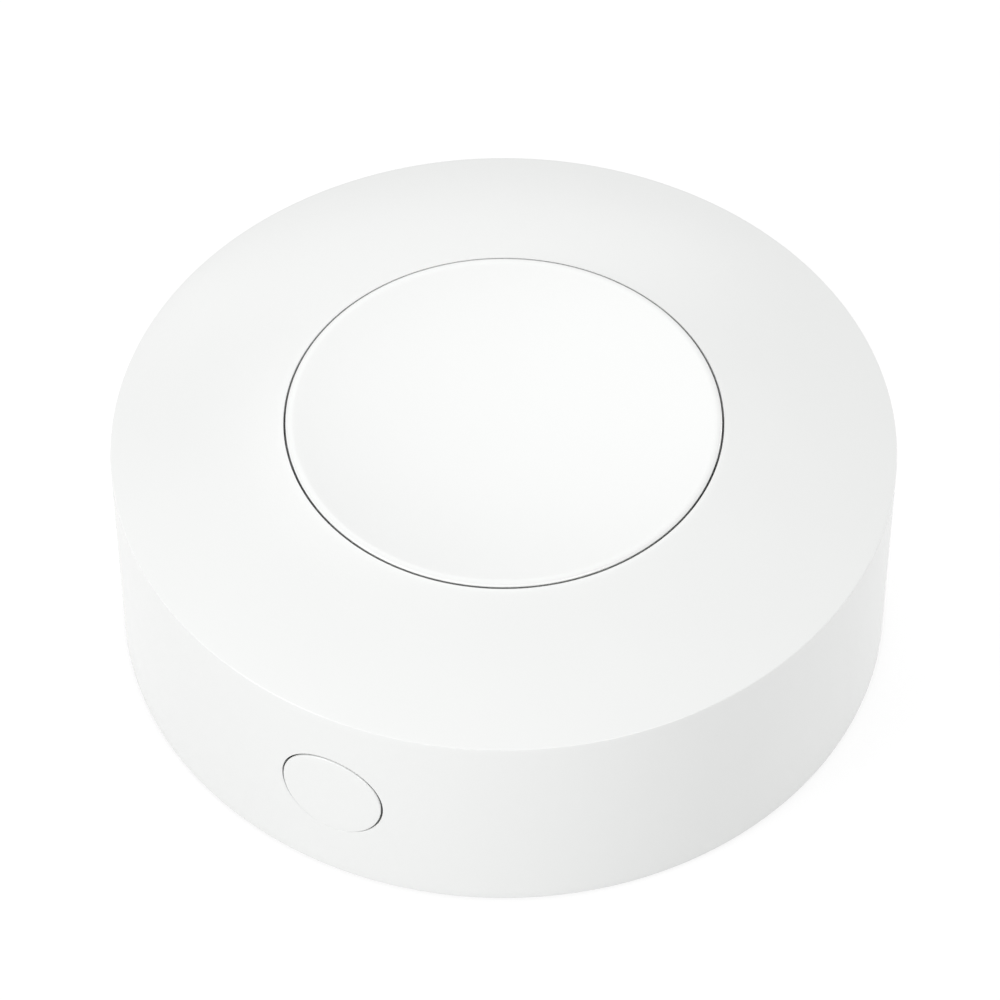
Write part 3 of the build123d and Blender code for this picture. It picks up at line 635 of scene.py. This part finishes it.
def cut_side_hole(bm, sizes, patch_half_angle, patch_bottom, patch_top):
    """Opens the round hole of the side button through the wall, with its flat seat inside."""
    inner = inner_radius(sizes)
    between = inner + sizes.side_wall / 2
    hole = sizes.side_button_radius + sizes.side_button_gap
    seat_y = -(inner - sizes.side_seat_depth)

    def in_patch(face):
        spot = face.calc_center_median()
        turn = abs(atan2(spot.x, -spot.y))
        upright = abs(face.normal.z) < 0.5
        return turn < patch_half_angle and patch_bottom < spot.z < patch_top and upright

    def outside(spot, depth=0.0):
        radius = wall_radius(sizes, spot.z)
        return Vector((spot.x, depth - sqrt(radius**2 - spot.x**2), spot.z))

    def inside(spot):
        return Vector((spot.x, -sqrt(inner**2 - spot.x**2), spot.z))

    def seat(angle):
        across, up = on_rounded_box(angle, sizes.side_seat_width / 2, sizes.side_seat_height / 2,
                                    sizes.side_seat_round)
        return Vector((across, 0, FACE_Z + up))

    bm.normal_update()
    near = [face for face in bm.faces if in_patch(face)]
    outer_patch = [face for face in near if hypot(*face.calc_center_median().xy) > between]
    inner_patch = [face for face in near if face not in set(outer_patch)
                   and hypot(*face.calc_center_median().xy) > inner - MM]
    outer_rim = open_patch(bm, outer_patch)
    inner_rim = open_patch(bm, inner_patch)

    # From the outside: over the wall to the hole, round its edge and down to the seat
    edge_radius = hole + sizes.side_hole_round
    rim = ease_to(bm, outer_rim, lambda a: circle(a, edge_radius + sizes.side_hole_round), outside, steps=6)
    rim = grow_to(bm, rim, lambda a: outside(circle(a, edge_radius)))
    for across, along in quarter(steps=4):
        radius = edge_radius - sizes.side_hole_round * across
        depth = sizes.side_hole_round * (1 - along)
        rim = grow_to(bm, rim, lambda a: outside(circle(a, radius), depth))
    hole_rim = grow_to(bm, rim, lambda a: circle(a, hole) + Vector((0, seat_y, 0)))

    # From the inside: over the wall to the seat, out to its face and in to the hole
    rim = ease_to(bm, inner_rim, seat, inside, steps=2)
    rim = grow_to(bm, rim, lambda a: seat(a) + Vector((0, seat_y, 0)))
    rim = grow_to(bm, rim, lambda a: circle(a, hole) + Vector((0, seat_y, 0)))
    meeting = {vert for edge in hole_rim + rim for vert in edge.verts}
    weld(bm, list(meeting))


class SWITCH_OT_housing(bpy.types.Operator):
    """Moulds the housing: drafted side wall, crowned top, collar, bosses, keys and side hole"""

    bl_idname = "switch.housing"
    bl_label = "Housing"

    def execute(self, context):
        sizes, colours, _ = settings()
        steps = 288
        column = TURN / steps
        patch_columns = 24
        patch_rows = 20
        patch_half = 5.6 * MM
        patch_bottom = FACE_Z - patch_half
        patch_top = FACE_Z + patch_half
        bm = bmesh.new()
        housing_outline(bm, sizes, patch_bottom, patch_top, patch_rows)
        lathe(bm, steps)
        bmesh.ops.recalc_face_normals(bm, faces=bm.faces[:])
        cut_side_hole(bm, sizes, patch_columns / 2 * column, patch_bottom, patch_top)
        self.add_bosses(bm, sizes)
        self.add_keys_and_guides(bm, sizes)
        plastic = moulded_plastic("ABS white, spark eroded", colours.shell, *GLOSSY)
        make_piece("housing_moulding", bm, [plastic], "case", "housing")
        return {"FINISHED"}

    def add_bosses(self, bm, sizes):
        """Screw bosses under the top, each with a web to the side wall."""
        inner = inner_radius(sizes)
        boss_radius = 2.3 * MM
        spot_radius = inner - 3.6 * MM
        web = 1.0 * MM
        top = crown_height(sizes, spot_radius) - sizes.top_wall + SUNK
        web_top = crown_height(sizes, spot_radius + boss_radius) - sizes.top_wall + SUNK
        for angle in SCREW_ANGLES:
            spot = Matrix.Rotation(angle, 4, "Z") @ Vector((spot_radius, 0, (BOARD_TOP + top) / 2))
            bmesh.ops.create_cone(bm, cap_ends=True, segments=48, radius1=boss_radius, radius2=boss_radius,
                                  depth=top - BOARD_TOP, matrix=Matrix.Translation(spot))
            block(bm, (spot_radius, -web / 2, BOARD_TOP), (inner + SUNK, web / 2, web_top), angle)

    def add_keys_and_guides(self, bm, sizes):
        """Keys that stop the main button from turning, and guides beside the side button."""
        inner = inner_radius(sizes)
        collar = sizes.opening_radius + sizes.collar_wall
        half_key, key_reach = 1.0 * MM, 2.0 * MM
        key_bottom = FLANGE_BOTTOM - 0.75 * MM
        key_top = crown_height(sizes, collar) - sizes.top_wall + SUNK
        for angle in KEY_ANGLES:
            block(bm, (collar - SUNK, -half_key, key_bottom), (collar + key_reach, half_key, key_top), angle)
        _, flange_back = side_flange(sizes)
        guide_near, guide_far, half_guide = 4.62 * MM, 5.62 * MM, 2.5 * MM
        for side in (-1, 1):
            near, far = sorted((side * guide_near, side * guide_far))
            block(bm, (near, -inner - SUNK, SIDE_BUTTON_Z - half_guide),
                  (far, -flange_back, SIDE_BUTTON_Z + half_guide))


# Main button

class SWITCH_OT_main_button(bpy.types.Operator):
    """Moulds the main button: dished cap, rounded lip, skirt, flange in three parts, ribs and nib"""

    bl_idname = "switch.main_button"
    bl_label = "Main button"

    def execute(self, context):
        sizes, colours, _ = settings()
        edge = sizes.opening_radius - sizes.button_gap
        lip = edge - sizes.lip_width
        dish = (lip**2 + sizes.dish_depth**2) / (2 * sizes.dish_depth)
        dish_z = TOP_Z - sizes.dish_depth
        under = dish + sizes.cap_wall
        skirt = edge - sizes.skirt_wall
        ring = sizes.opening_radius + sizes.collar_wall / 2
        flange_top = FLANGE_BOTTOM + sizes.flange_thickness

        def under_z(radius):
            return dish_z + dish - sqrt(under**2 - radius**2)

        bm = bmesh.new()
        corner = (edge, TOP_Z - sizes.lip_fall)
        land = TOP_Z - sizes.cap_land
        side = edge - sizes.cap_relief
        skirt_top = (skirt, under_z(skirt))
        nib_top = (sizes.nib_radius, under_z(sizes.nib_radius))
        nib_end = (sizes.nib_radius, NIB_BOTTOM)
        draw_outline(bm, ((0, dish_z), (lip, TOP_Z), corner, (edge, land), (side, land),
                          (side, flange_top), (ring, flange_top), (ring, FLANGE_BOTTOM),
                          (skirt, FLANGE_BOTTOM), skirt_top, nib_top, nib_end,
                          (0, NIB_BOTTOM)))
        bow_edge(bm, (0, dish_z), (lip, TOP_Z), dish, cuts=30, side=-1)
        bow_edge(bm, skirt_top, nib_top, under, cuts=10, side=-1)
        round_corner(bm, (lip, TOP_Z), sizes.lip_crest)
        round_corner(bm, corner, sizes.lip_round, segments=8)
        round_corner(bm, nib_end, sizes.rim_round, segments=3)
        lathe(bm, steps=240)
        half_slot = 1.1 * MM
        slot_angle = 2 * atan2(half_slot, (ring + FLANGE_RADIUS) / 2)
        for angle in KEY_ANGLES:
            ring_sector(bm, ring - SUNK, FLANGE_RADIUS, FLANGE_BOTTOM, flange_top,
                        angle + TURN / 6, TURN / 3 - slot_angle, steps=40)
        half_rib = 0.4 * MM
        rib_low = dish_z - sizes.cap_wall - 0.9 * MM
        rib_high = under_z(skirt) + SUNK / 3
        for turn in range(6):
            block(bm, (0, -half_rib, rib_low), (skirt + SUNK, half_rib, rib_high), TURN * turn / 6)
        plastic = moulded_plastic("ABS white, satin cap", colours.button, *GLOSSY)
        make_piece("main_button_cap", bm, [plastic], "main_button", "main_button")
        return {"FINISHED"}


# Side button

class SWITCH_OT_side_button(bpy.types.Operator):
    """Moulds the side button: round face bowed like the wall, flange behind it and nib"""

    bl_idname = "switch.side_button"
    bl_label = "Side button"

    def execute(self, context):
        sizes, colours, _ = settings()
        flange_front, flange_back = side_flange(sizes)
        outer = sizes.side_button_radius
        soft = sizes.side_button_round
        face_bow = wall_radius(sizes, FACE_Z) + sizes.side_button_stand

        def on_face(angle, radius, depth=0.0):
            spot = circle(angle, radius)
            spot.y = depth - sqrt(face_bow**2 - spot.x**2)
            return spot

        bm = bmesh.new()
        forwards = Matrix.Rotation(pi / 2, 4, "X")
        place = Matrix.Translation((0, SUNK - flange_front, FACE_Z)) @ forwards
        land = sizes.side_button_land
        neck = outer - sizes.cap_relief
        bmesh.ops.create_circle(bm, cap_ends=True, segments=96, radius=neck, matrix=place)
        rim = grow_to(bm, bm.edges[:], lambda a: on_face(a, neck, land))
        rim = grow_to(bm, rim, lambda a: on_face(a, outer, land))
        fall = sizes.side_button_fall
        for along, across in quarter(steps=6, first=0):
            radius = outer - soft * (1 - across)
            depth = fall + soft * (1 - along)
            rim = grow_to(bm, rim, lambda a: on_face(a, radius, depth))
        flat = 0.88     # share of the face's radius that doesn't roll off
        for share in (0.985, 0.97, 0.95, 0.93, 0.91, flat, 0.7, 0.5, 0.3, 0.1, 0.0):
            depth = fall * (max(share - flat, 0) / (1 - flat)) ** 2
            rim = grow_to(bm, rim, lambda a: on_face(a, (outer - soft) * share, depth))
        weld(bm, bm.verts[:])
        self.add_flange(bm, flange_front, flange_back)
        nib = Vector((0, (SIDE_NIB_END - flange_back) / 2, SIDE_BUTTON_Z))
        nib_radius = 1.1 * MM
        bmesh.ops.create_cone(bm, cap_ends=True, segments=32, radius1=nib_radius,
                              radius2=nib_radius, depth=flange_back + SIDE_NIB_END + SUNK,
                              matrix=Matrix.Translation(nib) @ forwards)
        plastic = moulded_plastic("ABS white, side button", colours.shell, *GLOSSY)
        make_piece("side_button_cap", bm, [plastic], "side_button", "side_button")
        return {"FINISHED"}

    def add_flange(self, bm, front, back):
        """Flat flange with rounded corners, that holds the button in behind its seat."""
        half_width = 4.5 * MM
        half_height = 4.3 * MM
        before = set(bm.edges)
        block(bm, (-half_width, -front, SIDE_BUTTON_Z - half_height),
              (half_width, -back, SIDE_BUTTON_Z + half_height))
        corners = [edge for edge in set(bm.edges) - before
                   if abs(edge.verts[0].co.y - edge.verts[1].co.y) > MERGE]
        bmesh.ops.bevel(bm, geom=corners, offset=1.2 * MM, segments=6, profile=0.5,
                        affect="EDGES", material=-1)


# Base

class SWITCH_OT_battery_door(bpy.types.Operator):
    """Moulds the battery door: disc with a coin slot, ring and press ring inside, and three lugs"""

    bl_idname = "switch.battery_door"
    bl_label = "Battery door"

    def execute(self, context):
        sizes, colours, _ = settings()
        outer = sizes.door_radius
        bevel = sizes.door_bevel
        inside = FOOT_Z + sizes.door_thickness
        ring = outer - 1.5 * MM
        press_outer, press_inner = 6.5 * MM, 5.0 * MM
        press_top = inside + 0.85 * MM
        bm = bmesh.new()
        draw_outline(bm, ((outer - bevel, FOOT_Z), (outer, FOOT_Z + bevel), (outer, DOOR_TOP),
                          (ring, DOOR_TOP), (ring, inside), (press_outer, inside),
                          (press_outer, press_top), (press_inner, press_top),
                          (press_inner, inside), (0, inside)))
        lathe(bm, steps=192)
        rim = [edge for edge in bm.edges if edge.is_boundary]
        slot_rim = self.coin_slot(bm, sizes)
        bmesh.ops.triangle_fill(bm, use_beauty=True, edges=rim + slot_rim)
        lug_bottom = DOOR_TOP - 1.0 * MM
        lug_angle = radians(20)
        for angle in KEY_ANGLES:
            ring_sector(bm, outer - SUNK, LUG_RADIUS, lug_bottom, DOOR_TOP, angle, lug_angle)
        plastic = moulded_plastic("ABS white, battery door", colours.base, *SATIN)
        make_piece("battery_door_disc", bm, [plastic], "battery_door", "battery_door")
        return {"FINISHED"}

    def coin_slot(self, bm, sizes):
        """Slot with rounded ends and edges. Gives the edges of its mouth."""
        half_width = sizes.coin_slot_width / 2
        half_straight = sizes.coin_slot_length / 2 - half_width
        soft = 0.15 * MM
        floor = FOOT_Z + sizes.coin_slot_depth
        segments = 64
        half_step = Matrix.Rotation(pi / segments, 4, "Z")

        def spread(verts, radius, height):
            for vert in verts:
                shift = copysign(half_straight, vert.co.x)
                away = Vector((vert.co.x - shift, vert.co.y, 0)).normalized()
                vert.co = Vector((shift, 0, height)) + away * radius

        made = bmesh.ops.create_circle(bm, segments=segments, radius=half_width, matrix=half_step)["verts"]
        for vert in made:
            vert.co.x += copysign(half_straight, vert.co.x)
        spread(made, half_width + soft, FOOT_Z)
        mouth = list({edge for vert in made for edge in vert.link_edges})
        rim = mouth
        for across, along in quarter(steps=4):
            rim, parents = grow(bm, rim)
            spread(parents, half_width + soft * (1 - across), FOOT_Z + soft * (1 - along))
        for radius, height in ((half_width, floor - soft), (half_width - soft, floor)):
            rim, parents = grow(bm, rim)
            spread(parents, radius, height)
        bmesh.ops.edgeloop_fill(bm, edges=rim)
        return mouth


class SWITCH_OT_adhesive_pad(bpy.types.Operator):
    """Cuts the ring of foam tape with its paper liner, round the door and its notches"""

    bl_idname = "switch.adhesive_pad"
    bl_label = "Adhesive pad"

    def execute(self, context):
        _, colours, _ = settings()
        inner = 15.35 * MM
        notch = 16.75 * MM
        notch_angle = radians(29.9)
        bm = bmesh.new()
        start = Matrix.Rotation(notch_angle / 2, 3, "Z") @ Vector((inner, 0, 0))
        vert = bm.verts.new(start)
        for turn in range(3):
            for radius, angle, steps in ((inner, TURN / 3 - notch_angle, 40), (notch, notch_angle, 12)):
                vert.co = vert.co.normalized() * radius
                made = bmesh.ops.spin(bm, geom=[vert], axis=(0, 0, 1),
                                      angle=angle, steps=steps)["geom_last"]
                vert = bmesh.ops.extrude_vert_indiv(bm, verts=made)["verts"][0]
        vert.co = start
        weld(bm, bm.verts[:])
        bmesh.ops.create_circle(bm, segments=192, radius=PAD_RADIUS)
        bmesh.ops.triangle_fill(bm, use_beauty=True, edges=bm.edges[:])
        for face in bm.faces:
            face.material_index = 1
        made = bmesh.ops.extrude_face_region(bm, geom=bm.faces[:])["geom"]
        bmesh.ops.translate(bm, vec=(0, 0, PAD_TOP), verts=verts_in(made))
        for face in bm.faces:
            if face.calc_center_median().z > MERGE:
                face.material_index = 0
        make_piece("adhesive_ring", bm, [foam_tape(), liner_paper(colours.liner)], "case",
                   "adhesive_pad")
        return {"FINISHED"}


class SWITCH_OT_base_plate(bpy.types.Operator):
    """Finishes the base plate and the screws that hold it"""

    bl_idname = "switch.base_plate"
    bl_label = "Base plate and screws"

    def execute(self, context):
        _, colours, _ = settings()
        finish_node("base_plate", moulded_plastic("ABS white, base plate", colours.base, *SATIN))
        finish_node("base_screws", plated_metal("steel, zinc plated", "C9CDD0", 0.3, 0.4))
        return {"FINISHED"}


# Inside

class SWITCH_OT_cell(bpy.types.Operator):
    """Finishes the coin cell and its two contacts"""

    bl_idname = "switch.cell"
    bl_label = "Coin cell and contacts"

    def execute(self, context):
        drawn = plated_metal("steel, drawn and nickel plated", "D6D4CE", 0.24, 0.5)
        strip = plated_metal("spring bronze, rolled and nickel plated", "CFC9BC", 0.3, 0.15,
                             (1.0, 12.0, 1.0))
        finish_node("coin_cell_can", drawn)
        finish_node("coin_cell_cap", plated_metal("steel, pressed and nickel plated", "DAD8D3", 0.2, 0.7))
        finish_node("coin_cell_gasket",
                    moulded_plastic("polypropylene, moulded", linear("3A3A3C"), 0.5, 0.3, 0.01))
        finish_node("positive_contact", strip)
        finish_node("negative_contact", strip)
        return {"FINISHED"}


class SWITCH_OT_board(bpy.types.Operator):
    """Finishes the circuit board and the parts on it"""

    bl_idname = "switch.board"
    bl_label = "Circuit board"

    def execute(self, context):
        finish_node("circuit_board", solder_mask())
        finish_node("radio_chip", moulded_plastic("epoxy, moulded", linear("26262A"), 0.55, 0.08, 0.01))
        finish_node("crystal", plated_metal("steel lid, nickel plated", "CDCAC2", 0.3, 0.3))
        finish_node("capacitors", capped_ceramic())
        finish_node("status_led", cast_resin())
        finish_node("antenna_trace", plated_metal("copper, gold flashed", "D9B070", 0.3, 0.2))
        return {"FINISHED"}


class SWITCH_OT_snap_switches(bpy.types.Operator):
    """Finishes the two switches, and stamps their snap domes as they stand before the stems press them"""

    bl_idname = "switch.snap_switches"
    bl_label = "Snap-dome switches"

    def execute(self, context):
        nylon = moulded_plastic("nylon, black, moulded", linear("1E1E20"), *FINE)
        pale = moulded_plastic("nylon, natural, moulded", linear("E6E4DC"), 0.45, 0.12, 0.01)
        dome = plated_metal("stainless steel, pressed", "D0D0CF", 0.2, 0.4)
        cover = plated_metal("steel, tinned", "C9C9C6", 0.36, 0.6)
        legs = plated_metal("brass, tinned", "D0CFC9", 0.32, 0.2)
        for name, stem in (("switch", nylon), ("side_switch", pale)):
            finish_node(name + "_base", nylon)
            finish_node(name + "_stem", stem)
            finish_node(name + "_cover", cover)
            finish_node(name + "_terminals", legs)
        self.press_dome("switch", Vector((0, 0, 1)), "switch_press", dome)
        self.press_dome("side_switch", Vector((0, -1, 0)), "side_switch_press", dome)
        return {"FINISHED"}

    def press_dome(self, switch, up, joint, steel):
        """Sprung cap that stands on its rim, made as it stands before the stem presses it."""
        low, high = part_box(switch + "_dome")
        height = abs((high - low).dot(up))
        radius = (high.x - low.x) / 2
        foot = (low + high) / 2 - up * height / 2
        bow = (radius**2 + height**2) / (2 * height)
        thickness = 0.1 * MM
        under = bow - thickness
        under_radius = sqrt(under**2 - (bow - height) ** 2)
        bm = bmesh.new()
        draw_outline(bm, ((0, height), (radius, 0), (under_radius, 0), (0, height - thickness)))
        bow_edge(bm, (0, height), (radius, 0), bow, cuts=11, side=1)
        bow_edge(bm, (under_radius, 0), (0, height - thickness), under, cuts=11, side=1)
        lathe(bm, steps=64)
        stand = up.to_track_quat("Z", "Y").to_matrix().to_4x4()
        bmesh.ops.transform(bm, matrix=Matrix.Translation(foot) @ stand, verts=bm.verts[:])
        cap = make_piece(switch + "_snap_dome", bm, [steel], "case", switch + "_dome")
        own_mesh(cap)


# Studio

class SWITCH_OT_stage(bpy.types.Operator):
    """Sets the floor, the sky, the lamps and the camera"""

    bl_idname = "switch.stage"
    bl_label = "Stage"

    def execute(self, context):
        _, _, studio = settings()
        self.floor()
        self.sky(studio)
        self.lamps()
        self.camera(studio)
        bpy.context.scene.view_settings.view_transform = "Standard"
        return {"FINISHED"}

    def floor(self):
        bm = bmesh.new()
        bmesh.ops.create_grid(bm, x_segments=1, y_segments=1, size=2.0)
        mesh = new_mesh("floor", bm)
        floor = new_object("floor", mesh)
        material, tree = new_material("studio floor")
        seen = self.seen(tree)
        plain = add(tree, "BsdfDiffuse", {"Color": (0.5, 0.5, 0.5, 1.0)})
        faint = add(tree, "BsdfDiffuse", {"Color": (0.25, 0.25, 0.25, 1.0)})
        glow = add(tree, "Emission", {"Color": WHITE, "Strength": 0.8})
        white = add(tree, "AddShader", {0: faint.outputs[0], 1: glow.outputs[0]})
        both = add(tree, "MixShader", {0: seen, 1: plain.outputs[0], 2: white.outputs[0]})
        add(tree, "OutputMaterial", {"Surface": both.outputs[0]})
        mesh.materials.append(material)

    def seen(self, tree):
        """One where a ray from the camera, a reflection or glass meets the stage, else nought."""
        path = add(tree, "LightPath")
        shown = add(tree, "Math", {0: path.outputs["Is Camera Ray"], 1: path.outputs["Is Glossy Ray"]},
                    operation="MAXIMUM")
        return add(tree, "Math", {0: shown.outputs[0], 1: path.outputs["Is Transmission Ray"]},
                   operation="MAXIMUM").outputs[0]

    def sky(self, studio):
        world = bpy.data.worlds.new("studio sky")
        bpy.context.scene.world = world
        world.use_nodes = True
        tree = world.node_tree
        tree.nodes.clear()
        light = add(tree, "Background", {"Color": WHITE, "Strength": studio.sky})
        white = add(tree, "Background", {"Color": WHITE, "Strength": 1.0})
        both = add(tree, "MixShader", {0: self.seen(tree), 1: light.outputs[0], 2: white.outputs[0]})
        add(tree, "OutputWorld", {"Surface": both.outputs[0]})

    def lamps(self):
        for name, (azimuth, elevation, width, height, watts) in LAMPS.items():
            data = bpy.data.lights.new(name, "AREA")
            data.shape = "ELLIPSE"
            data.size = width * MM
            data.size_y = height * MM
            data.energy = watts
            lamp = new_object(name, data)
            away = Matrix.Rotation(radians(azimuth), 3, "Z") @ Vector(
                (cos(radians(elevation)), 0, sin(radians(elevation))))
            lamp.location = away * LAMP_DISTANCE + Vector((0, 0, TOP_Z / 2))
            lamp.rotation_mode = "QUATERNION"
            lamp.rotation_quaternion = away.to_track_quat("Z", "Y")

    def camera(self, studio):
        back = Vector((sin(studio.azimuth) * cos(studio.elevation),
                       -cos(studio.azimuth) * cos(studio.elevation), sin(studio.elevation)))
        right = Vector((cos(studio.azimuth), sin(studio.azimuth), 0))
        foot = Vector((0, 0, FOOT_Z))
        aim = foot + Vector((0, 0, studio.aim_height)) - right * studio.aim_left
        camera = new_object("camera", bpy.data.cameras.new("camera"))
        camera.location = foot + back * studio.distance
        camera.rotation_mode = "QUATERNION"
        camera.rotation_quaternion = (aim - camera.location).to_track_quat("-Z", "Y")
        camera.data.lens = studio.lens
        camera.data.clip_start = 0.01
        camera.data.clip_end = 10.0
        bpy.context.scene.camera = camera


class SWITCH_PT_panel(bpy.types.Panel):
    """Lists the steps that build the switch"""

    bl_idname = "SWITCH_PT_panel"
    bl_label = "Wireless switch"
    bl_space_type = "VIEW_3D"
    bl_region_type = "UI"
    bl_category = "Switch"

    def draw(self, context):
        for operator in OPERATORS:
            self.layout.operator(operator.bl_idname)


SETTINGS = {"switch_sizes": SwitchSizes, "switch_colours": SwitchColours, "switch_studio": SwitchStudio}
OPERATORS = (SWITCH_OT_housing, SWITCH_OT_main_button, SWITCH_OT_side_button,
             SWITCH_OT_battery_door, SWITCH_OT_adhesive_pad, SWITCH_OT_base_plate,
             SWITCH_OT_cell, SWITCH_OT_board, SWITCH_OT_snap_switches, SWITCH_OT_stage)
CLASSES = (*SETTINGS.values(), *OPERATORS, SWITCH_PT_panel)


def register():
    """Registers the classes, and keeps the settings with the scene."""
    for item in CLASSES:
        bpy.utils.register_class(item)
    for name, group in SETTINGS.items():
        setattr(bpy.types.Scene, name, bpy.props.PointerProperty(type=group))


def unregister():
    """Takes the settings and the classes away again."""
    for name in SETTINGS:
        delattr(bpy.types.Scene, name)
    for item in reversed(CLASSES):
        bpy.utils.unregister_class(item)


def main():
    """Builds the switch and its studio."""
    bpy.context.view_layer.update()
    register()
    bpy.ops.switch.housing()
    bpy.ops.switch.main_button()
    bpy.ops.switch.side_button()
    bpy.ops.switch.battery_door()
    bpy.ops.switch.adhesive_pad()
    bpy.ops.switch.base_plate()
    bpy.ops.switch.cell()
    bpy.ops.switch.board()
    bpy.ops.switch.snap_switches()
    bpy.ops.switch.stage()


if __name__ == "__main__":
    main()
